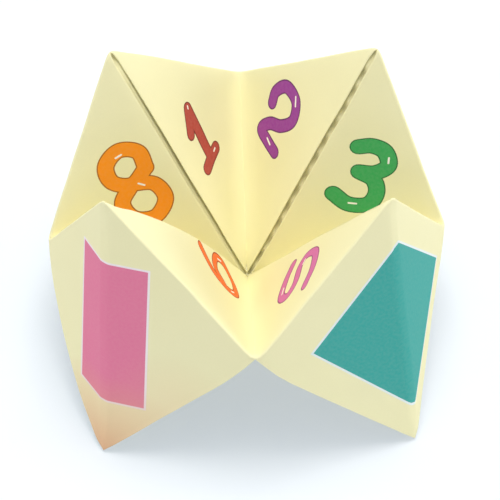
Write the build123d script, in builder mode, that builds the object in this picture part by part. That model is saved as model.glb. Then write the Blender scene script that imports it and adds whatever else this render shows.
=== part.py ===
"""A paper fortune teller, folded from one square sheet and standing open on its four corners.

Folding it takes the corners of a square sheet to the centre, turns the sheet over, takes the
new corners to the centre again and then opens the four pockets. Everywhere inside, three layers
lie on each other; the fourth layer stands away from them and leaves a pocket for a finger.

The points that the folding names, in each quarter of the model, which is called a horn:
  centre   the middle of the sheet, the lowest point of the mouth
  notch    the middle of a side of the half-size square; two horns share it
  peak     the corner of the half-size square, the tip of the horn
  foot     a corner of the sheet, which stands on the table

Each horn is two mirrored halves, and in every half the layers are, from the mouth outwards:
  3  number face    right triangle centre, notch, peak
  2  flap lining    the same triangle, joined to layer 3 along centre to peak
  1  base           the same triangle, joined to layer 2 along notch to peak
  4  outer face     right triangle notch, peak, foot, joined to layer 3 along notch to peak

Millimetres, +Z up, origin on the table under the centre of the sheet.
"""

import os
from math import cos, radians, sin, sqrt

from build123d import *

# Driving dimensions
sheet_side = 210.0  # the flat square, cut from an A4 sheet
paper_thickness = 0.12
layer_gap = 0.16  # air between two layers that are folded onto each other
side_notch_angle = 20.6  # rise of the left and right notches above the centre, seen from it
end_notch_angle = 32.25  # rise of the front and back notches
flap_setback = 0.5  # from the horn's inner ridge back to where a flap starts its fold
slit_clearance = 0.3  # between the raw edges of the two halves of a number flap
trim_allowance = 4.0  # how far a blank runs past the planes that trim it

# Worked out from them
panel = sheet_side / 4  # short side of every triangle
layer_pitch = paper_thickness + layer_gap
inner_fold_radius = layer_pitch / 2  # layer 1 to layer 2, and layer 2 to layer 3
outer_fold_radius = layer_pitch + inner_fold_radius  # layer 3 to layer 4, round the other fold


def notch_point(outwards, angle):
    """A notch: one panel from the centre, in a level direction turned up by an angle."""
    return panel * (outwards * cos(radians(angle)) + Vector(0, 0, sin(radians(angle))))


def peak_point():
    """The peak between two notches: one panel from both, a panel's diagonal from the centre."""
    side_cos, side_sin = cos(radians(side_notch_angle)), sin(radians(side_notch_angle))
    end_cos, end_sin = cos(radians(end_notch_angle)), sin(radians(end_notch_angle))
    # Its height solves a quadratic equation; x and y follow from the height.
    squared = (side_sin / side_cos) ** 2 + (end_sin / end_cos) ** 2 + 1
    halved = side_sin / side_cos**2 + end_sin / end_cos**2
    constant = 1 / side_cos**2 + 1 / end_cos**2 - 2
    z = (halved + sqrt(halved**2 - squared * constant)) / squared
    return panel * Vector((1 - z * side_sin) / side_cos, (1 - z * end_sin) / end_cos, z)


centre = Vector(0, 0, 0)
side_notch = notch_point(Vector(1, 0, 0), side_notch_angle)
end_notch = notch_point(Vector(0, 1, 0), end_notch_angle)
peak = peak_point()
# The outer faces are the base reflected in the plane through the two notches and the peak.
pocket_normal = (side_notch - peak).cross(end_notch - peak).normalized()
foot = pocket_normal * (2 * peak.dot(pocket_normal))
# The plane through the centre, the peak and the foot halves the horn.
ridge_plane = Plane(origin=centre, z_dir=end_notch - side_notch)

# The half horn at the end notch is drawn in two planes that start at the notch. Across the edge
# from notch to peak, x runs away from the centre and y into the mouth.
along_edge = (peak - end_notch).normalized()
across_edge = Plane(origin=end_notch, x_dir=end_notch, z_dir=along_edge)
outer_turn = end_notch.get_angle(foot - end_notch)
# On the base, x runs from the notch to the peak and y away from the centre.
on_base = Plane(origin=end_notch, x_dir=along_edge, z_dir=along_edge.cross(end_notch))


# Across the folded edge of the flap, x runs over that edge and y into the mouth.
flap_corner = on_base.from_local_coords(Vector(panel - flap_setback * sqrt(2), 0, layer_pitch))
flap_tip = on_base.from_local_coords(Vector(0, flap_setback * sqrt(2) - panel, layer_pitch))
over_flap_edge = on_base.x_dir - on_base.y_dir
across_flap_edge = Plane(origin=flap_corner, x_dir=over_flap_edge, z_dir=flap_tip - flap_corner)


def paper_section(path, first):
    """The section of the sheet where a path starts; it reaches past the peak along the edge."""
    start = Plane(origin=path @ 0, x_dir=along_edge, z_dir=path % 0)
    width = panel + trim_allowance - first
    with BuildSketch(start) as section:
        with Locations((first, 0)):
            Rectangle(width, paper_thickness, align=(Align.MIN, Align.CENTER))
    return section.sketch


# Layers 2 and 3 leave this room between the folded edge of the flap and the ridge plane.
with BuildSketch(across_flap_edge) as flap_room:
    with Locations((0, -inner_fold_radius)):
        Rectangle(trim_allowance, 3 * layer_pitch, align=Align.MIN)

# Layers 1 and 2 with the fold between them. Both run on across the valley from centre to notch,
# so they are trimmed where the quarters of the model join.
with BuildPart() as inner_layers:
    with BuildLine(across_edge) as inner_path:
        Line((-panel - trim_allowance, 0), (0, 0))
        CenterArc((0, inner_fold_radius), inner_fold_radius, -90, 180)
        Line((0, layer_pitch), (-panel - trim_allowance, layer_pitch))
    sweep(paper_section(inner_path.wire(), -trim_allowance), path=inner_path.wire())
    split(bisect_by=ridge_plane, keep=Keep.TOP)
    extrude(flap_room.sketch, amount=2 * panel, both=True, mode=Mode.SUBTRACT)
    mirror(about=ridge_plane)
    split(bisect_by=Plane.YZ, keep=Keep.TOP)
    split(bisect_by=Plane.ZX, keep=Keep.TOP)

# Layers 3 and 4, which carry the print, with the wide fold between them that goes round the
# inner one. Their raw edges keep a slit open at the valley.
with BuildPart() as printed_layers:
    with BuildLine(across_edge) as outer_path:
        Line((-panel - trim_allowance, 2 * layer_pitch), (0, 2 * layer_pitch))
        fold = CenterArc((0, inner_fold_radius), outer_fold_radius, 90, -outer_turn)
        PolarLine(fold @ 1, panel + trim_allowance, -outer_turn)
    sweep(paper_section(outer_path.wire(), 0), path=outer_path.wire())
    split(bisect_by=ridge_plane, keep=Keep.TOP)
    extrude(flap_room.sketch, amount=2 * panel, both=True, mode=Mode.SUBTRACT)
    # The folded edge of the flap, from layer 2 to layer 3.
    with BuildSketch(across_flap_edge):
        with Locations((0, inner_fold_radius)):
            Circle(inner_fold_radius + paper_thickness / 2)
            Circle(inner_fold_radius - paper_thickness / 2, mode=Mode.SUBTRACT)
            Rectangle(panel, panel, align=(Align.MAX, Align.CENTER), mode=Mode.SUBTRACT)
    extrude(amount=(flap_tip - flap_corner).length)
    mirror(about=ridge_plane)
    split(bisect_by=Plane.YZ.offset(slit_clearance / 2), keep=Keep.TOP)
    split(bisect_by=Plane.ZX.offset(slit_clearance / 2), keep=Keep.TOP)

table_height = printed_layers.part.bounding_box().min.Z

# The four horns are mirror images of each other across the two valleys.
with BuildPart() as folded_sheet:
    with Locations((0, 0, -table_height)):
        add(inner_layers.part)
        add(printed_layers.part)
    mirror(about=Plane.YZ)
    mirror(about=Plane.ZX)

folded_sheet.part.label = "folded_sheet"
os.makedirs("parts", exist_ok=True)
export_step(folded_sheet.part, "parts/folded_sheet.step")
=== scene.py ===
# %% [markdown]
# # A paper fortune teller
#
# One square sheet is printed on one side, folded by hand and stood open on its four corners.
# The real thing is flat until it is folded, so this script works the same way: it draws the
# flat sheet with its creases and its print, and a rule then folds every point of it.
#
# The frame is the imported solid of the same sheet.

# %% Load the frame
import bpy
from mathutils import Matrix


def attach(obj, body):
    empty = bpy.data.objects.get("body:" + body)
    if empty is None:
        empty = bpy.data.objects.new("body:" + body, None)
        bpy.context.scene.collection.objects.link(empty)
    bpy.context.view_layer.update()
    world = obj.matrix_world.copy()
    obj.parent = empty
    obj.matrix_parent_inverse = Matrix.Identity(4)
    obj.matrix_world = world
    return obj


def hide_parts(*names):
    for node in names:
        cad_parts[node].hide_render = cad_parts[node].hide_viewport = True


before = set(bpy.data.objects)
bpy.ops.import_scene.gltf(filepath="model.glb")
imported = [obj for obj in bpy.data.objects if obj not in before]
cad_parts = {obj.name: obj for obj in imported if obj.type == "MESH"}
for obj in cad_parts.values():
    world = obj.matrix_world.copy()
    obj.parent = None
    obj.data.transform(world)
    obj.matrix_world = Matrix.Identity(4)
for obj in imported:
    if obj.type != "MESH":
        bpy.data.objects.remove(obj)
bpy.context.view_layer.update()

from math import cos, pi, radians, sin, sqrt
from types import SimpleNamespace

import bpy
import numpy as np
from mathutils import Matrix, Vector
from mathutils.geometry import delaunay_2d_cdt

# %% [markdown]
# ## The camera
#
# The toy is seen from above and in front through a long lens, so its verticals stay nearly
# parallel. The camera is placed by the way it looks, then moved back along that way.

# %% Set up the camera
MM = 0.001
PANEL = 52.5  # a quarter of the sheet's side; every triangle has two sides this long
CENTRE_HEIGHT = 7.86  # the middle of the sheet above the table

turn = radians(2.58)  # how far the view is turned about the upright axis
tilt = radians(54.06)  # how far the view looks down
CAMERA_DISTANCE = 12.37 * PANEL
right = Vector((cos(turn), -sin(turn), 0))
ahead = Vector((sin(turn) * cos(tilt), cos(turn) * cos(tilt), -sin(tilt)))
up = right.cross(ahead)
# The view is centred a little to the right of the sheet's middle and above it.
aim = Vector((0.014 * PANEL, 0, CENTRE_HEIGHT)) + up * 0.143 * PANEL
camera_data = bpy.data.cameras.new("camera")
camera_data.sensor_width = 36
camera_data.lens = 184.6
camera = bpy.data.objects.new("camera", camera_data)
bpy.context.scene.collection.objects.link(camera)
place = (aim - ahead * CAMERA_DISTANCE) * MM
axes = Matrix((right, up, -ahead)).transposed().to_4x4()
camera.matrix_world = Matrix.Translation(place) @ axes
bpy.context.scene.camera = camera
print("camera at", tuple(round(c, 3) for c in place))

# %% [markdown]
# ## Where the folds end up
#
# A quarter of the model is a horn. It has a peak, a foot and two notches that it shares with
# its neighbours. Hand folding is never exact, so each peak and foot leans a little its own way.

# %% Place the named points of the four horns
SIDE_RISE, END_RISE = radians(20.6), radians(32.25)


def peak_of_quarter():
    """The peak is a panel from both notches and a panel's diagonal from the centre."""
    squared = np.tan(SIDE_RISE) ** 2 + np.tan(END_RISE) ** 2 + 1
    halved = sin(SIDE_RISE) / cos(SIDE_RISE) ** 2 + sin(END_RISE) / cos(END_RISE) ** 2
    rest = 1 / cos(SIDE_RISE) ** 2 + 1 / cos(END_RISE) ** 2 - 2
    z = (halved + sqrt(halved**2 - squared * rest)) / squared
    x = (1 - z * sin(SIDE_RISE)) / cos(SIDE_RISE)
    y = (1 - z * sin(END_RISE)) / cos(END_RISE)
    return PANEL * np.array((x, y, z))


side_notch = PANEL * np.array((cos(SIDE_RISE), 0, sin(SIDE_RISE)))
end_notch = PANEL * np.array((0, cos(END_RISE), sin(END_RISE)))
peak = peak_of_quarter()
pocket_normal = np.cross(side_notch - peak, end_notch - peak)
pocket_normal /= np.linalg.norm(pocket_normal)
foot = pocket_normal * 2 * (peak @ pocket_normal)

# How far a peak and a foot lean, in millimetres, for each horn by the signs of its x and y.
PEAK_LEAN = {(1, 1): (-0.1, -0.4, -0.5), (-1, 1): (0.8, 0.5, 0.7),
             (-1, -1): (-1.0, 0.3, 0.9), (1, -1): (-0.3, -0.6, -0.9)}
FOOT_LEAN = {(1, 1): (0, 0, 0), (-1, 1): (0, 0, 0),
             (-1, -1): (1.0, 0, 0), (1, -1): (1.1, 0, 0)}
print("peak", peak.round(1), "foot", foot.round(1))

# %% [markdown]
# ## The folding rule
#
# In half a horn four right triangles lie over one another: the base, the flap's lining, the
# flap's number face and the outer face. On the flat sheet they are neighbours. The rule finds
# which triangle a flat point is in, gives its place in that triangle and its height above the
# base, and rounds the paper where it turns from one layer to the next.
#
# All four layers run together in the tip of a horn, so the heights shrink towards it.

# %% Describe each half horn
PITCH = 0.28  # from one layer to the next
INNER, OUTER = PITCH / 2, 1.5 * PITCH  # radius of a tight fold and of the wide fold
# How far the folded edge of a flap bows up from the base, for each half horn.
FLAP_BOW = {(-1, -1, "end"): 3.0, (-1, 1, "side"): 1.0, (-1, 1, "end"): 0.5,
            (1, 1, "side"): 0.6, (1, 1, "end"): 0.5, (1, -1, "end"): 0.3}
USUAL_FLAP_BOW = 0.3
# How far the raw edge of an outer face bows outwards.
EDGE_BOW = {(-1, -1, "side"): 1.6, (1, -1, "side"): -0.8, (1, -1, "end"): 0.6}


def unit(v):
    return v / np.linalg.norm(v)


def half_horn(sx, sy, half):
    """The notch, the directions and the bows of one half of a horn."""
    signs = np.array((sx, sy, 1.0))
    level = np.array((1, 1, 0))
    near, far = (end_notch, side_notch) if half == "end" else (side_notch, end_notch)
    notch, other = near * signs, far * signs
    tip = peak * signs + PEAK_LEAN[sx, sy]
    toe = foot * signs + FOOT_LEAN[sx, sy]
    along = (tip - notch) / PANEL
    outwards = notch / PANEL
    down = (toe - notch) / PANEL
    inside = unit(np.cross(along, outwards))
    if inside[2] < 0 or inside[2] < inside @ (notch * level):
        inside = -inside
    face_out = unit(np.cross(along, down))
    if face_out @ (tip * level) < 0:
        face_out = -face_out
    ridge = unit(tip - toe)
    inwards = (notch + other - tip - toe) / 2
    return SimpleNamespace(
        notch=notch, along=along, outwards=outwards, down=down, inside=inside,
        face_out=face_out, turned=np.arccos(np.clip(unit(outwards) @ unit(down), -1, 1)),
        valley_side=np.array((1.0, 0, 0)) if half == "end" else np.array((0, 1.0, 0)),
        valley_up=unit(np.array((0, 0, 1.0)) - outwards * outwards[2]),
        ridge_side=unit(np.cross(tip, toe)),
        ridge_pull=unit(inwards - (inwards @ ridge) * ridge),
        flap_bow=FLAP_BOW.get((sx, sy, half), USUAL_FLAP_BOW),
        edge_bow=EDGE_BOW.get((sx, sy, half), 0.0))


HALF_HORNS = {(sx, sy, half): half_horn(sx, sy, half)
              for sx in (1, -1) for sy in (1, -1) for half in ("end", "side")}
print(len(HALF_HORNS), "half horns; the wide fold turns",
      round(float(np.degrees(HALF_HORNS[1, 1, "end"].turned)), 1), "degrees")

# %% [markdown]
# ### Rounding a fold
#
# Paper can't turn on a line. Each fold is a piece of a cylinder, and the paper that it takes up
# is made up over a longer stretch beside it, so that the sheet's far edges stay where they
# belong. Towards a peak the folds get tighter, because nothing could be round in a point.

# %% Find a point's place in its layer
TAKE_UP = 20.0  # the paper that a round fold takes up is made up over this length
BASE, LINING, NUMBER_FACE, OUTER_FACE = 1, 2, 3, 4


def fade(distance, reach):
    """One at zero, nothing beyond the reach, and smooth between."""
    return max(0.0, 1 - distance / reach) ** 2


def place_in_layer(p, q, turned, tight, wide):
    """The layer of a flat point, its place and height there, and its distance from the fold.

    x runs from the notch to the peak and y outwards from the notch edge. The last two numbers
    are the flat distance from the notch edge's fold and, on an outer face, how far down it is.
    """
    a = PANEL
    if p <= a and p + q <= 2 * a:
        from_fold = q - a
        if from_fold < -tight:
            return BASE, p, from_fold + tight * fade(-from_fold - tight, TAKE_UP), 0.0, from_fold, 0
        if from_fold <= tight:
            angle = pi * (from_fold + tight) / (2 * max(tight, 1e-9))
            y, h = INNER * sin(angle), INNER * (1 - cos(angle))
        else:
            y, h = -from_fold + tight * fade(from_fold - tight, TAKE_UP), PITCH
        return (BASE if from_fold < 0 else LINING), p, y, h, from_fold, 0
    if p <= a or q - a > 0 and p <= a + wide:
        from_fold = p - a
        if from_fold < -wide:
            y, h = from_fold + wide * fade(-from_fold - wide, TAKE_UP), 2 * PITCH
        else:
            angle = turned * (from_fold + wide) / (2 * max(wide, 1e-9))
            y, h = OUTER * sin(angle), INNER + OUTER * cos(angle)
        return NUMBER_FACE, 2 * a - q, y, h, from_fold, 0
    return (OUTER_FACE, 2 * a - q, OUTER * sin(turned), INNER + OUTER * cos(turned), 0,
            p - a - wide)


# %% [markdown]
# ### The flap's edge and the soft shapes
#
# A flap is set back a little from the ridge, and its folded edge is round too. The rest of the
# rule is what hands do to paper: valleys and ridges are soft, edges bow, and the four flap tips
# stand up a little where they meet.

# %% Fold a flat point
TIP_REACH = 1.2  # this near to a peak or a flap tip, the layers run together
TAPER = 0.3  # a fold's half width is at most this share of the way to its end
SETBACK = 0.5  # the flap's fold lies this far behind the horn's inner ridge
SETBACK_START, SETBACK_REACH = 0.4, 1.5  # where the setback begins beside the notch edge
VALLEY_SOFT, RIDGE_SOFT = 4.2, 1.4  # how far the rounding of a crease reaches
RIDGE_MEET = 1.5  # this near to a ridge, two outer faces draw together into one line
VALLEY_SHARE = 0.4  # near the centre a valley is rounded over this share of its length
RIDGE_PULL = 0.6  # how strongly a ridge is rounded
OUTER_VALLEY_REACH = 12.0  # a valley's rounding runs this far down an outer face
FLAP_BOW_REACH = 22.0  # a flap bows over this width beside its folded edge
FLAP_BOW_START = 6.0  # the bow grows over this way from the notch edge
TIP_LIFT, TIP_LIFT_REACH = 1.3, 6.0  # the flap tips stand up this much, over about this length


def set_back_flap(layer, from_ridge, flap, lift):
    """How far the flap is drawn back from the ridge, and its height where its edge is round."""
    if from_ridge > flap:
        return (SETBACK - flap) * fade(from_ridge - flap, TAKE_UP), None
    angle = pi * (from_ridge / max(flap, 1e-9)) / 2
    back = SETBACK - INNER * sin(pi / 2 - angle) - from_ridge
    side = 1 if layer == NUMBER_FACE else -1
    return back, 1.5 * PITCH + side * INNER * sin(angle) * lift


def fold(u, v):
    """Where a point of the flat sheet lies on the folded model, in millimetres."""
    a = PANEL
    half = "end" if abs(v) >= abs(u) else "side"
    horn = HALF_HORNS[1 if u >= 0 else -1, 1 if v >= 0 else -1, half]
    p, q = sorted((abs(u), abs(v)))
    to_peak = np.hypot(p - a, q - a)
    to_tip = np.hypot(p, q - 2 * a)
    shrink = min(1.0, to_peak / TIP_REACH)
    lift = min(1.0, to_tip / TIP_REACH)
    tight = min(pi * INNER / 2, TAPER * to_peak)
    flap = min(tight, TAPER * to_tip)
    wide = min(OUTER * horn.turned / 2, TAPER * to_peak)
    layer, x, y, h, from_fold, r = place_in_layer(p, q, horn.turned, tight, wide)

    past_fold = abs(from_fold) > (tight if layer == LINING else wide)
    if layer in (LINING, NUMBER_FACE) and past_fold:
        back, edge_height = set_back_flap(layer, abs(p + q - 2 * a) / sqrt(2), flap, lift)
        if edge_height is not None:
            h = edge_height
        near_edge = 1 - fade(max(0.0, abs(from_fold) - SETBACK_START), SETBACK_REACH)
        x -= back / sqrt(2) * near_edge
        y += back / sqrt(2) * near_edge
        if layer == NUMBER_FACE:
            h = PITCH + (h - PITCH) * lift

    h *= shrink
    if y > 0:
        y *= shrink
    valley_length = a + min(y, 0.0)
    soft = max(1e-6, min(VALLEY_SOFT, VALLEY_SHARE * valley_length))
    normal = horn.inside
    normal = unit(normal - fade(x, soft) * (normal @ horn.valley_side) * horn.valley_side)
    offset = y * horn.outwards + h * normal
    rounding = (horn.along @ horn.valley_up) * max(0.0, soft - x) ** 2 / (2 * soft)
    if layer == OUTER_FACE:
        ridge_gap = max(0.0, (a - x - r) / sqrt(2))
        past_ridge = offset @ horn.ridge_side
        offset = offset - fade(ridge_gap, RIDGE_MEET) * past_ridge * horn.ridge_side
        offset = offset + r * horn.down
        reach = min(RIDGE_SOFT, TAPER * to_peak + 0.01, TAPER * (2 * a - q) + 0.01)
        if ridge_gap < reach:
            offset = offset + horn.ridge_pull * RIDGE_PULL * (reach - ridge_gap) ** 2 / (2 * reach)
        across = max(0.0, 1 - x / max(a - r, 1.0)) ** 2
        bow = horn.edge_bow * 4 * (r / a) * (1 - min(r / a, 1.0)) * across
        offset = offset + bow * horn.face_out
        rounding *= fade(r, OUTER_VALLEY_REACH)
    point = horn.notch + x * horn.along + offset + rounding * horn.valley_up
    if layer in (LINING, NUMBER_FACE):
        from_flap_edge = max(0.0, (a - x + min(y, 0.0)) / sqrt(2))
        bow = horn.flap_bow * sin(pi * min(max(x / a, 0.0), 1.0))
        bow *= fade(from_flap_edge, FLAP_BOW_REACH) * min(1.0, -min(y, 0.0) / FLAP_BOW_START)
        point = point + bow * normal
        point[2] += TIP_LIFT * np.exp(-np.hypot(x, a + y) / TIP_LIFT_REACH)
    point[2] += CENTRE_HEIGHT
    return point


print("centre", fold(0, 0).round(2), "front left foot", fold(-105, -105).round(2))

# %% [markdown]
# ## The print
#
# The numbers are round, soft strokes, as a felt marker or a balloon letter has. A stroke is a
# few points of its middle line with a width, smoothed into a curve. Each is drawn on its own
# triangle: x from notch to peak, y from the notch edge towards the centre, in millimetres.
# Drawing outlines into the mesh keeps every ink edge crisp at any distance.

# %% Draw the numbers as strokes
STROKES = {
    "1": [((23.3, 11.2), (18.7, 16.8), (14.2, 22.3)), ((23.3, 11.6), (22.4, 17.4)),
          ((12.0, 19.6), (14.2, 22.4), (16.2, 25.4))],
    "2": [((13.4, 8.8), (15.0, 6.2), (19.2, 5.6), (22.6, 9.6), (21.2, 14.2), (16.6, 15.0),
           (12.2, 13.8), (8.8, 14.8), (11.0, 18.2), (13.6, 21.4))],
    "3": [((28.9, 12.9), (28.1, 9.6), (25.5, 7.2), (21.6, 7.6), (20.6, 11.2), (22.0, 15.0)),
          ((22.0, 15.0), (18.8, 12.4), (15.0, 12.9), (12.6, 16.0), (14.2, 20.6), (18.2, 23.2))],
    "4": [((16.5, 25.5), (21.5, 19.0), (27.0, 11.5)), ((27.0, 11.5), (21.5, 10.5), (16.0, 10.0)),
          ((24.0, 17.5), (19.5, 13.0), (14.5, 8.5))],
    "5": [((18.4, 26.2), (15.0, 22.2), (12.4, 16.8), (14.4, 13.6), (18.0, 15.4), (20.6, 20.2),
           (23.6, 21.4), (26.6, 18.0), (24.6, 12.4), (21.0, 8.4))],
    "6": [((22.2, 28.2), (15.6, 26.4), (9.8, 26.8), (6.4, 30.0), (7.6, 34.6), (12.2, 36.4),
           (15.8, 33.8), (15.2, 29.4), (11.4, 27.4))],
    "7": [((25.5, 21.5), (22.5, 15.5), (19.5, 9.5)), ((19.5, 9.5), (15.0, 15.5), (12.0, 24.0))],
    "8": [((25.6, 17.4), (29.2, 14.2), (28.2, 9.6), (23.4, 8.0), (19.6, 10.8), (20.4, 15.6),
           (25.6, 17.4)),
          ((20.4, 15.6), (21.8, 20.8), (18.6, 24.8), (13.2, 24.0), (11.4, 19.0), (14.6, 14.8),
           (20.4, 15.6))],
}
WIDTHS = {"1": 3.4, "2": 3.5, "3": 4.4, "4": 3.4, "5": 3.0, "6": 2.6, "7": 3.4, "8": 4.3}
SHINE = {"1": [((23.4, 10.6), (23.2, 11.2)), ((12.4, 19.8), (12.9, 20.6))],
         "2": [((22.6, 8.4), (22.4, 10.8)), ((10.9, 17.4), (11.9, 19.2))],
         "3": [((23.6, 6.8), (22.2, 7.4)), ((13.6, 18.6), (14.4, 20.4))],
         "5": [((21.6, 19.6), (22.8, 20.6)), ((12.8, 17.6), (13.8, 19.6))],
         "6": [((8.2, 28.0), (7.2, 29.4)), ((13.6, 35.6), (15.0, 34.4))],
         "8": [((27.4, 10.6), (26.2, 9.6)), ((20.9, 17.0), (20.8, 18.6))],
         "4": [((26.0, 12.6), (24.6, 14.4))], "7": [((24.6, 20.4), (23.8, 18.6))]}
# Which half horn carries which number, clockwise from the back.
NUMBER_PLACES = {"1": (-1, 1, "end"), "2": (1, 1, "end"), "3": (1, 1, "side"),
                 "4": (1, -1, "side"), "5": (1, -1, "end"), "6": (-1, -1, "end"),
                 "7": (-1, -1, "side"), "8": (-1, 1, "side")}
INKS = {"1": (0.46, 0.065, 0.045), "2": (0.32, 0.05, 0.31), "3": (0.045, 0.38, 0.10),
        "4": (0.05, 0.22, 0.55), "5": (0.68, 0.16, 0.40), "6": (0.95, 0.17, 0.03),
        "7": (0.05, 0.36, 0.40), "8": (0.95, 0.29, 0.006)}
OUTLINE_WIDTH = 0.32
OUTLINE_SHADE = 0.42  # an outline is the ink's colour made this much darker
SHINE_RADIUS = 0.24
SHINE_TONE = np.array((0.93, 0.88, 0.80))


def smooth_line(points, steps=10):
    """A soft curve through the points of a stroke."""
    points = [np.array(p, float) for p in points]
    padded = [2 * points[0] - points[1], *points, 2 * points[-1] - points[-2]]
    line = []
    for before, start, end, after in zip(padded, padded[1:], padded[2:], padded[3:]):
        for t in np.arange(steps) / steps:
            line.append(0.5 * (2 * start + (end - before) * t
                               + (2 * before - 5 * start + 4 * end - after) * t**2
                               + (3 * start - before - 3 * end + after) * t**3))
    return np.array([*line, points[-1]])


CAP_STEPS = 8  # short runs round the end of a stroke


def around(line, radius):
    """The outline of a stroke with round ends."""
    ahead_of = np.gradient(line, axis=0)
    ahead_of /= np.linalg.norm(ahead_of, axis=1)[:, None]
    left = np.stack((-ahead_of[:, 1], ahead_of[:, 0]), 1)

    def cap(centre_point, direction):
        angles = np.linspace(pi / 2, -pi / 2, CAP_STEPS + 1)[1:-1]
        side = np.array((-direction[1], direction[0]))
        return [centre_point + radius * (cos(t) * direction + sin(t) * side) for t in angles]

    return np.array([*(line + radius * left), *cap(line[-1], ahead_of[-1]),
                     *(line - radius * left)[::-1], *cap(line[0], -ahead_of[0])])


def on_number_face(points, place):
    """From a number face's own x and y to the flat sheet."""
    sx, sy, half = place
    p, q = PANEL - points[:, 1], 2 * PANEL - points[:, 0]
    pair = (p, q) if half == "end" else (q, p)
    return np.stack((sx * pair[0], sy * pair[1]), 1)


def distance_to(line, points):
    """The shortest distance from each point to a line of short runs."""
    best = np.full(len(points), 1e9)
    for start, end in zip(line, line[1:]):
        run = end - start
        t = np.clip((points - start) @ run / max(run @ run, 1e-12), 0, 1)
        best = np.minimum(best, np.linalg.norm(points - start - t[:, None] * run, axis=1))
    return best


prints = []  # kind, line or outline, radius and colour: the last one that covers a face wins
outlines = []
for number, place in NUMBER_PLACES.items():
    ink = np.array(INKS[number])
    full = WIDTHS[number] / 2
    for radius, colour in ((full, ink * OUTLINE_SHADE), (full - OUTLINE_WIDTH, ink)):
        for stroke in STROKES[number]:
            line = on_number_face(smooth_line(stroke), place)
            prints.append(("stroke", line, radius, colour))
            outlines.append(around(line, radius))
    for shine in SHINE[number]:
        line = on_number_face(smooth_line(shine, 3), place)
        prints.append(("stroke", line, SHINE_RADIUS, SHINE_TONE))
        outlines.append(around(line, SHINE_RADIUS))
print(len(prints), "strokes of ink")

# %% [markdown]
# The outer squares carry one flat shape each, with a thin pale border. Their corners are
# measured from the peak along the square's two sides. The two shapes at the back face away,
# so they are plain ones that such a toy often has.

# %% Draw the shapes on the outer squares
def round_shape(centre_at, radius, count=56):
    angles = np.linspace(0, 2 * pi, count, endpoint=False)
    return [(centre_at + radius * cos(t), centre_at + radius * sin(t)) for t in angles]


SHAPES = {
    (-1, -1): (((20.0, 5.2), (48.2, 33.8), (34.0, 48.0), (5.0, 19.4)), (0.76, 0.20, 0.33)),
    (1, -1): (((10.0, 9.2), (47.6, 8.2), (44.9, 44.3), (10.8, 43.0)), (0.045, 0.37, 0.33)),
    (1, 1): (round_shape(27.0, 17.0), (0.93, 0.50, 0.04)),
    (-1, 1): (((14.0, 14.0), (46.0, 20.0), (20.0, 46.0)), (0.16, 0.30, 0.66)),
}
BORDER = 0.55
BORDER_TINT, BORDER_WHITE = 0.15, 0.78  # a border is a little of the colour on near white


def grown(corners, amount):
    """A shape with its border moved outwards by an even amount."""
    corners = np.array(corners, float)
    area = np.cross(corners, np.roll(corners, -1, 0)).sum()
    runs = np.roll(corners, -1, 0) - corners
    out = np.stack((runs[:, 1], -runs[:, 0]), 1) * np.sign(area)
    out /= np.linalg.norm(out, axis=1)[:, None]
    before = np.roll(out, 1, 0)
    return corners + amount * (out + before) / (1 + (out * before).sum(1))[:, None]


for (sx, sy), (corners, colour) in SHAPES.items():
    full_tone = np.array(colour)
    for amount, tone in ((BORDER, full_tone * BORDER_TINT + BORDER_WHITE), (0.0, full_tone)):
        outline = (grown(corners, amount) + PANEL) * (sx, sy)
        prints.append(("area", outline, 0, tone))
        outlines.append(outline)
print("shapes on", len(SHAPES), "outer squares")

# %% [markdown]
# ## The flat sheet
#
# The sheet is one mesh. A constrained triangulation takes the creases, the ink outlines and an
# even grid, and makes triangles that never cross any of those lines. Each fold gets a few
# narrow strips, so that it comes out round.

# %% Lay out the creases and triangulate the sheet
GRID = 56  # cells across the sheet, so that all creases run through its corners
FOLD_LINES = (-1, -0.75, -0.5, -0.25, 0, 0.25, 0.5, 0.75, 1)
CREASE_STEPS = 24
EXTRA_STEPS = np.array((0.4, 0.9))  # closer steps at each end of a crease
WIDE_TURN = 1.947  # radians that the wide fold turns through
VALLEY_LINES = (0.8, 1.6, 2.6)  # beside a valley, in millimetres
RIDGE_LINES = (-1.1, -0.6, -0.25, 0, 0.25, 0.6, 1.1)
SOFT_STEPS = 40
SMALLEST_GAP = 1e-4  # points nearer than this become one

points, edges = [], []


def add_line(line, closed=False):
    first = len(points)
    points.extend(Vector((float(x), float(y))) for x, y in line)
    edges.extend((first + i, first + i + 1) for i in range(len(line) - 1))
    if closed:
        edges.append((first + len(line) - 1, first))


def crease(start, end, half_width, taper_start):
    """Parallel lines along a crease that draw together at its end, and at its start if asked."""
    start, end = np.array(start, float), np.array(end, float)
    length = np.linalg.norm(end - start)
    way = (end - start) / length
    side = np.array((-way[1], way[0]))
    even_steps = np.linspace(0, length, CREASE_STEPS + 1)
    stations = np.unique(np.concatenate((even_steps, EXTRA_STEPS, length - EXTRA_STEPS)))
    for k in FOLD_LINES:
        line = []
        for s in stations:
            width = min(half_width, TAPER * (length - s))
            if taper_start:
                width = min(width, TAPER * s)
            line.append(start + way * s + side * width * k)
        add_line(line)


def on_sheet(x, y, swapped, signs):
    """A point of one eighth of the sheet, mirrored to where that eighth lies."""
    return np.array((y, x) if swapped else (x, y), float) * signs


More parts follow.
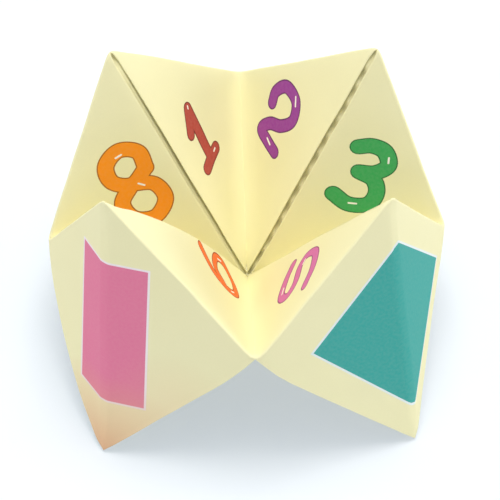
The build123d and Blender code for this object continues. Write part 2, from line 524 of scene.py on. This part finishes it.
a = PANEL
small, wide = pi * INNER / 2, OUTER * WIDE_TURN / 2
for signs in ((1, 1), (1, -1), (-1, 1), (-1, -1)):
    for swapped in (False, True):
        horn_peak = on_sheet(a, a, swapped, signs)
        crease(on_sheet(0, a, swapped, signs), horn_peak, small, taper_start=False)
        crease(on_sheet(0, 2 * a, swapped, signs), horn_peak, small, taper_start=True)
        crease(on_sheet(a, 2 * a, swapped, signs), horn_peak, wide, taper_start=False)
        for offset in VALLEY_LINES:
            add_line([on_sheet(offset, t, swapped, signs)
                      for t in np.linspace(8, 2 * a, SOFT_STEPS)])
    for offset in RIDGE_LINES:
        add_line([on_sheet(t + offset, t - offset, False, signs)
                  for t in np.linspace(a + 3, 2 * a - 1.2, SOFT_STEPS)])
for outline in outlines:
    add_line(outline, closed=True)
steps = np.linspace(-2 * a, 2 * a, GRID + 1)
for x in steps:
    points.extend(Vector((float(x), float(y))) for y in steps)
corners = [(-2 * a, -2 * a), (2 * a, -2 * a), (2 * a, 2 * a), (-2 * a, 2 * a)]
add_line(corners, closed=True)
flat, _, faces, *_ = delaunay_2d_cdt(points, edges, [], 0, SMALLEST_GAP)
flat = np.clip(np.array([tuple(p) for p in flat]), -2 * a, 2 * a)
print("flat sheet:", len(flat), "points", len(faces), "triangles")

# %% [markdown]
# ## Folding it
#
# Every flat point goes through the folding rule. The flat place is kept as the sheet's UV map,
# so that the corner tint and the fibres lie in the paper and turn with it at a fold. Ink is a
# colour on the faces inside an outline.

# %% Fold the sheet and ink it
folded = np.array([fold(u, v) for u, v in flat]) * MM
mesh = bpy.data.meshes.new("folded_paper")
mesh.from_pydata(folded.tolist(), [], faces)
mesh.update()

corner_index = np.array([loop.vertex_index for loop in mesh.loops])
uv = mesh.uv_layers.new(name="flat_sheet")
uv.data.foreach_set("uv", (flat[corner_index] / (4 * a) + 0.5).ravel())
centres = flat[np.array(faces)].mean(axis=1)


def inside_outline(outline, points_in):
    inside_it = np.zeros(len(points_in), bool)
    for (x0, y0), (x1, y1) in zip(outline, np.roll(outline, -1, 0)):
        crosses = (y0 > points_in[:, 1]) != (y1 > points_in[:, 1])
        run = (x1 - x0) * (points_in[:, 1] - y0) / (y1 - y0 if y1 != y0 else 1e-12) + x0
        inside_it ^= crosses & (points_in[:, 0] < run)
    return inside_it


ink = np.zeros((len(faces), 4))
for kind, shape, radius, colour in prints:
    low, high = shape.min(0) - radius - 1, shape.max(0) + radius + 1
    near = np.where(((centres > low) & (centres < high)).all(1))[0]
    if kind == "stroke":
        hit = near[distance_to(shape, centres[near]) < radius]
    else:
        hit = near[inside_outline(shape, centres[near])]
    ink[hit, :3], ink[hit, 3] = colour, 1.0
attribute = mesh.attributes.new("ink", "FLOAT_COLOR", "FACE")
attribute.data.foreach_set("color", ink.ravel())
for polygon in mesh.polygons:
    polygon.use_smooth = True
paper = bpy.data.objects.new("folded_paper", mesh)
bpy.context.scene.collection.objects.link(paper)
print("inked faces:", int(ink[:, 3].sum()))

# %% [markdown]
# ## The two sides of the paper
#
# Uncoated coloured paper is matt. It isn't one even tone: a slow drift and fine fibres show
# close up. The ink comes from the colour kept on the faces, with a few bare fibres in it, and a
# soft peach-brown tint lies by one corner of the printed side. Everything reads the flat sheet's
# UV map. A picture could do the same, but a rule stays sharp at any distance.

# %% Make the two papers
CLOUD_TINT = (0.985, 0.975, 0.93)  # the sheet's tone drifts this far
FIBRE_SHADE, FIBRE_SHARE = 0.86, 0.10
BARE_FIBRE, BARE_SHARE = (0.85, 0.80, 0.66), 0.03  # fibres that the ink hasn't covered
BUMP_STRENGTH, BUMP_HEIGHT = 0.22, 0.00005


def make_paper(name, base, printed):
    """Matt paper: soft clouds of tone, fine fibres and, on the printed side, ink and a corner tint.
    """
    material = bpy.data.materials.new(name)
    material.use_nodes = True
    nodes, links = material.node_tree.nodes, material.node_tree.links
    nodes.clear()
    output = nodes.new("ShaderNodeOutputMaterial")
    shader = nodes.new("ShaderNodeBsdfPrincipled")
    shader.inputs["Roughness"].default_value = 0.78
    shader.inputs["Specular IOR Level"].default_value = 0.28
    links.new(shader.outputs[0], output.inputs[0])
    sheet_uv = nodes.new("ShaderNodeUVMap")
    sheet_uv.uv_map = "flat_sheet"

    def noise(scale, detail):
        node = nodes.new("ShaderNodeTexNoise")
        node.inputs["Scale"].default_value = scale
        node.inputs["Detail"].default_value = detail
        links.new(sheet_uv.outputs[0], node.inputs["Vector"])
        return node.outputs["Fac"]

    def mix(fac, first, second):
        node = nodes.new("ShaderNodeMix")
        node.data_type = "RGBA"
        factor, upper, lower = node.inputs[0], node.inputs[6], node.inputs[7]
        for socket, value in ((factor, fac), (upper, first), (lower, second)):
            if isinstance(value, bpy.types.NodeSocket):
                links.new(value, socket)
            else:
                socket.default_value = (*value, 1)
        return node.outputs[2]

    def between(value, low, high, to_low, to_high):
        node = nodes.new("ShaderNodeMapRange")
        links.new(value, node.inputs[0])
        for i, number in enumerate((low, high, to_low, to_high), 1):
            node.inputs[i].default_value = number
        return node.outputs[0]

    clouds = between(noise(5.0, 3), 0.3, 0.7, 0.0, 1.0)
    colour = mix(clouds, base, [c * k for c, k in zip(base, CLOUD_TINT)])
    fibres = between(noise(420.0, 6), 0.35, 0.65, 0.0, FIBRE_SHARE)
    colour = mix(fibres, colour, [c * FIBRE_SHADE for c in base])
    if printed:
        ink_node = nodes.new("ShaderNodeAttribute")
        ink_node.attribute_name = "ink"
        bare = between(noise(260.0, 4), 0.35, 0.65, 0.0, BARE_SHARE)
        mottled = mix(bare, ink_node.outputs["Color"], BARE_FIBRE)
        colour = mix(ink_node.outputs["Alpha"], colour, mottled)

        def front_corner_tint(at_x, reach, strength, tint, under):
            """A soft spot on the sheet's front edge, its place and reach in shares of its side."""
            place_at = nodes.new("ShaderNodeVectorMath")
            place_at.operation = "DISTANCE"
            links.new(sheet_uv.outputs[0], place_at.inputs[0])
            place_at.inputs[1].default_value = (at_x, 0, 0)
            spot = between(place_at.outputs["Value"], 0.0, reach, strength, 0.0)
            return mix(spot, under, tint)

        # A soft peach-brown tint on the printed side at the sheet's front-left corner, and a weaker
        # one beside it along the front edge.
        colour = front_corner_tint(0.0, 0.115, 0.80, (0.74, 0.36, 0.20), colour)
        colour = front_corner_tint(0.115, 0.085, 0.22, (0.80, 0.42, 0.26), colour)
    links.new(colour, shader.inputs["Base Color"])
    bump = nodes.new("ShaderNodeBump")
    bump.inputs["Strength"].default_value = BUMP_STRENGTH
    bump.inputs["Distance"].default_value = BUMP_HEIGHT
    links.new(noise(300.0, 8), bump.inputs["Height"])
    links.new(bump.outputs[0], shader.inputs["Normal"])
    return material


printed_paper = make_paper("printed_cream_paper", (0.885, 0.835, 0.520), True)
plain_paper = make_paper("plain_cream_paper", (0.90, 0.875, 0.68), False)
print("papers:", printed_paper.name, plain_paper.name)

# %% [markdown]
# ## Giving the paper its thickness
#
# So far the sheet has no body. A small node tree lifts it by a slow, low waver, as handled
# paper has, and then thickens it evenly to both sides. The tree has named inputs, so the same
# rule would do for card or tissue. The printed side, and the plain side with the cut edges,
# each get their own paper.

# %% Thicken the sheet with a node tree
PAPER_THICKNESS = 0.00012
WAVER = 0.0011  # the full swing of the waver, in metres
JOIN_GAP = 1e-7  # the two sides meet at the cut edges and become one shell


def paper_body_tree():
    tree = bpy.data.node_groups.new("paper_body", "GeometryNodeTree")
    sockets = tree.interface
    sockets.new_socket("Sheet", in_out="INPUT", socket_type="NodeSocketGeometry")
    for name, value in (("Thickness", PAPER_THICKNESS), ("Waver", 0.0), ("Waver Scale", 34.0)):
        socket = sockets.new_socket(name, in_out="INPUT", socket_type="NodeSocketFloat")
        socket.default_value = value
    for name in ("Printed Side", "Plain Side"):
        sockets.new_socket(name, in_out="INPUT", socket_type="NodeSocketMaterial")
    sockets.new_socket("Paper", in_out="OUTPUT", socket_type="NodeSocketGeometry")
    nodes, links = tree.nodes, tree.links
    entry = nodes.new("NodeGroupInput")
    leave = nodes.new("NodeGroupOutput")

    def times(value, factor):
        node = nodes.new("ShaderNodeMath")
        node.operation = "MULTIPLY"
        links.new(value, node.inputs[0])
        node.inputs[1].default_value = factor
        return node.outputs[0]

    def shifted(geometry, amount):
        """Moves every point along its normal by an amount."""
        normal = nodes.new("GeometryNodeInputNormal")
        scaled = nodes.new("ShaderNodeVectorMath")
        move = nodes.new("GeometryNodeSetPosition")
        scaled.operation = "SCALE"
        links.new(normal.outputs[0], scaled.inputs[0])
        links.new(amount, scaled.inputs["Scale"])
        links.new(geometry, move.inputs["Geometry"])
        links.new(scaled.outputs[0], move.inputs["Offset"])
        return move.outputs[0]

    # The waver is a noise in space, so layers that lie together move together and stay apart.
    waver_noise = nodes.new("ShaderNodeTexNoise")
    direction = nodes.new("ShaderNodeVectorMath")
    direction.operation = "SCALE"
    links.new(entry.outputs["Waver Scale"], waver_noise.inputs["Scale"])
    move = nodes.new("GeometryNodeSetPosition")
    centred = nodes.new("ShaderNodeVectorMath")
    centred.operation = "SUBTRACT"
    centred.inputs[1].default_value = (0.5, 0.5, 0.5)
    links.new(waver_noise.outputs["Color"], centred.inputs[0])
    links.new(centred.outputs[0], direction.inputs[0])
    links.new(entry.outputs["Waver"], direction.inputs["Scale"])
    links.new(entry.outputs["Sheet"], move.inputs["Geometry"])
    links.new(direction.outputs[0], move.inputs["Offset"])

    top = shifted(move.outputs[0], times(entry.outputs["Thickness"], 0.5))
    extrude = nodes.new("GeometryNodeExtrudeMesh")
    extrude.inputs["Individual"].default_value = False
    links.new(top, extrude.inputs["Mesh"])
    links.new(times(entry.outputs["Thickness"], -1.0), extrude.inputs["Offset Scale"])
    printed = nodes.new("GeometryNodeSetMaterial")
    plain = nodes.new("GeometryNodeSetMaterial")
    links.new(extrude.outputs["Mesh"], plain.inputs["Geometry"])
    links.new(entry.outputs["Plain Side"], plain.inputs["Material"])
    links.new(top, printed.inputs["Geometry"])
    links.new(entry.outputs["Printed Side"], printed.inputs["Material"])
    # Pushed out through the back of the sheet, the new faces look inwards until they are flipped.
    flip = nodes.new("GeometryNodeFlipFaces")
    join = nodes.new("GeometryNodeJoinGeometry")
    links.new(plain.outputs[0], flip.inputs[0])
    links.new(flip.outputs[0], join.inputs[0])
    links.new(printed.outputs[0], join.inputs[0])
    merge = nodes.new("GeometryNodeMergeByDistance")
    realize = nodes.new("GeometryNodeRealizeInstances")
    merge.inputs["Distance"].default_value = JOIN_GAP
    links.new(join.outputs[0], merge.inputs[0])
    links.new(merge.outputs[0], realize.inputs[0])
    links.new(realize.outputs[0], leave.inputs[0])
    return tree


tree = paper_body_tree()
body = paper.modifiers.new("paper body", "NODES")
body.node_group = tree
inputs = {item.name: item.identifier for item in tree.interface.items_tree
          if item.item_type == "SOCKET" and item.in_out == "INPUT"}
body[inputs["Waver"]] = WAVER
body[inputs["Printed Side"]] = printed_paper
body[inputs["Plain Side"]] = plain_paper
evaluated = paper.evaluated_get(bpy.context.evaluated_depsgraph_get())
finished = bpy.data.meshes.new_from_object(evaluated)
paper.modifiers.clear()
# Folds are a row of small turns and shade smoothly; the cut edges of the sheet stay crisp.
CRISP_ANGLE = radians(38)
finished.set_sharp_from_angle(angle=CRISP_ANGLE)
paper.data = finished
print("finished paper:", len(finished.polygons), "faces", [m.name for m in finished.materials])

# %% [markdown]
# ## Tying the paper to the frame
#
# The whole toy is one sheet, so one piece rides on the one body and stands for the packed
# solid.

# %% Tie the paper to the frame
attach(paper, "root")
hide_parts("folded_sheet")
print("tied:", paper.name)

# %% [markdown]
# ## The table and the light
#
# A white table under a big soft light from above and behind leaves the outer faces in mild
# shade and lets light bounce between the cream faces inside, which makes them glow. A stronger
# lamp from the front would be simpler, but would flatten the folds.

# %% Set the table
bpy.context.scene.view_settings.view_transform = "Standard"
PALE_SHARE = 0.42  # the share of even paleness in the table that the camera sees
bpy.ops.mesh.primitive_plane_add(size=6)
table = bpy.context.object
table.name = "table"
table_material = bpy.data.materials.new("white_table")
table_material.use_nodes = True
table_nodes, table_links = table_material.node_tree.nodes, table_material.node_tree.links
table_shader = table_nodes["Principled BSDF"]
table_shader.inputs["Base Color"].default_value = (0.93, 0.95, 0.97, 1)
table_shader.inputs["Roughness"].default_value = 0.9
# For the camera alone the table is paler than it is for the light that bounces off it, so its
# shadow stays a pale blue.
pale = table_nodes.new("ShaderNodeEmission")
what_looks = table_nodes.new("ShaderNodeLightPath")
blend_in = table_nodes.new("ShaderNodeMixShader")
pale.inputs["Color"].default_value = (0.80, 0.90, 1.0, 1)
share = table_nodes.new("ShaderNodeMath")
share.operation = "MULTIPLY"
share.inputs[1].default_value = PALE_SHARE
table_links.new(what_looks.outputs["Is Camera Ray"], share.inputs[0])
table_links.new(share.outputs[0], blend_in.inputs[0])
table_links.new(table_shader.outputs[0], blend_in.inputs[1])
table_links.new(pale.outputs[0], blend_in.inputs[2])
table_links.new(blend_in.outputs[0], table_nodes["Material Output"].inputs[0])
table.data.materials.append(table_material)
print("staged:", table.name)

# %% Set the room's light and the lamps
ROOM_COLOUR, ROOM_STRENGTH = (0.90, 0.95, 1.0, 1), 0.65
LAMPS_AIM = Vector((0, 0, 0.03))

world = bpy.data.worlds.new("studio")
bpy.context.scene.world = world
world.use_nodes = True
background = world.node_tree.nodes["Background"]
background.inputs["Color"].default_value = ROOM_COLOUR
background.inputs["Strength"].default_value = ROOM_STRENGTH


def add_lamp(name, place_at, size, watts, colour):
    """A square soft lamp at a place in metres, turned towards the toy."""
    lamp_data = bpy.data.lights.new(name, "AREA")
    lamp_data.size = size
    lamp_data.energy = watts
    lamp_data.color = colour
    lamp = bpy.data.objects.new(name, lamp_data)
    bpy.context.scene.collection.objects.link(lamp)
    facing = (LAMPS_AIM - Vector(place_at)).to_track_quat("-Z", "Y")
    lamp.matrix_world = Matrix.Translation(place_at) @ facing.to_matrix().to_4x4()


add_lamp("key", (0.05, 0.22, 1.15), 0.6, 9.2, (1.0, 0.97, 0.92))
add_lamp("right fill", (0.9, -0.1, 0.32), 0.4, 1.5, (1.0, 0.98, 0.95))
add_lamp("left fill", (-0.9, -0.1, 0.32), 0.4, 0.7, (1.0, 0.95, 0.92))
print("lamps:", [lamp.name for lamp in bpy.data.lights])

# %% [markdown]
# ## Finishing
#
# Soft folds and bows must not make the toy larger than its solid. Last, the scene is brought up to
# date.

# %% Finish
bpy.context.view_layer.update()
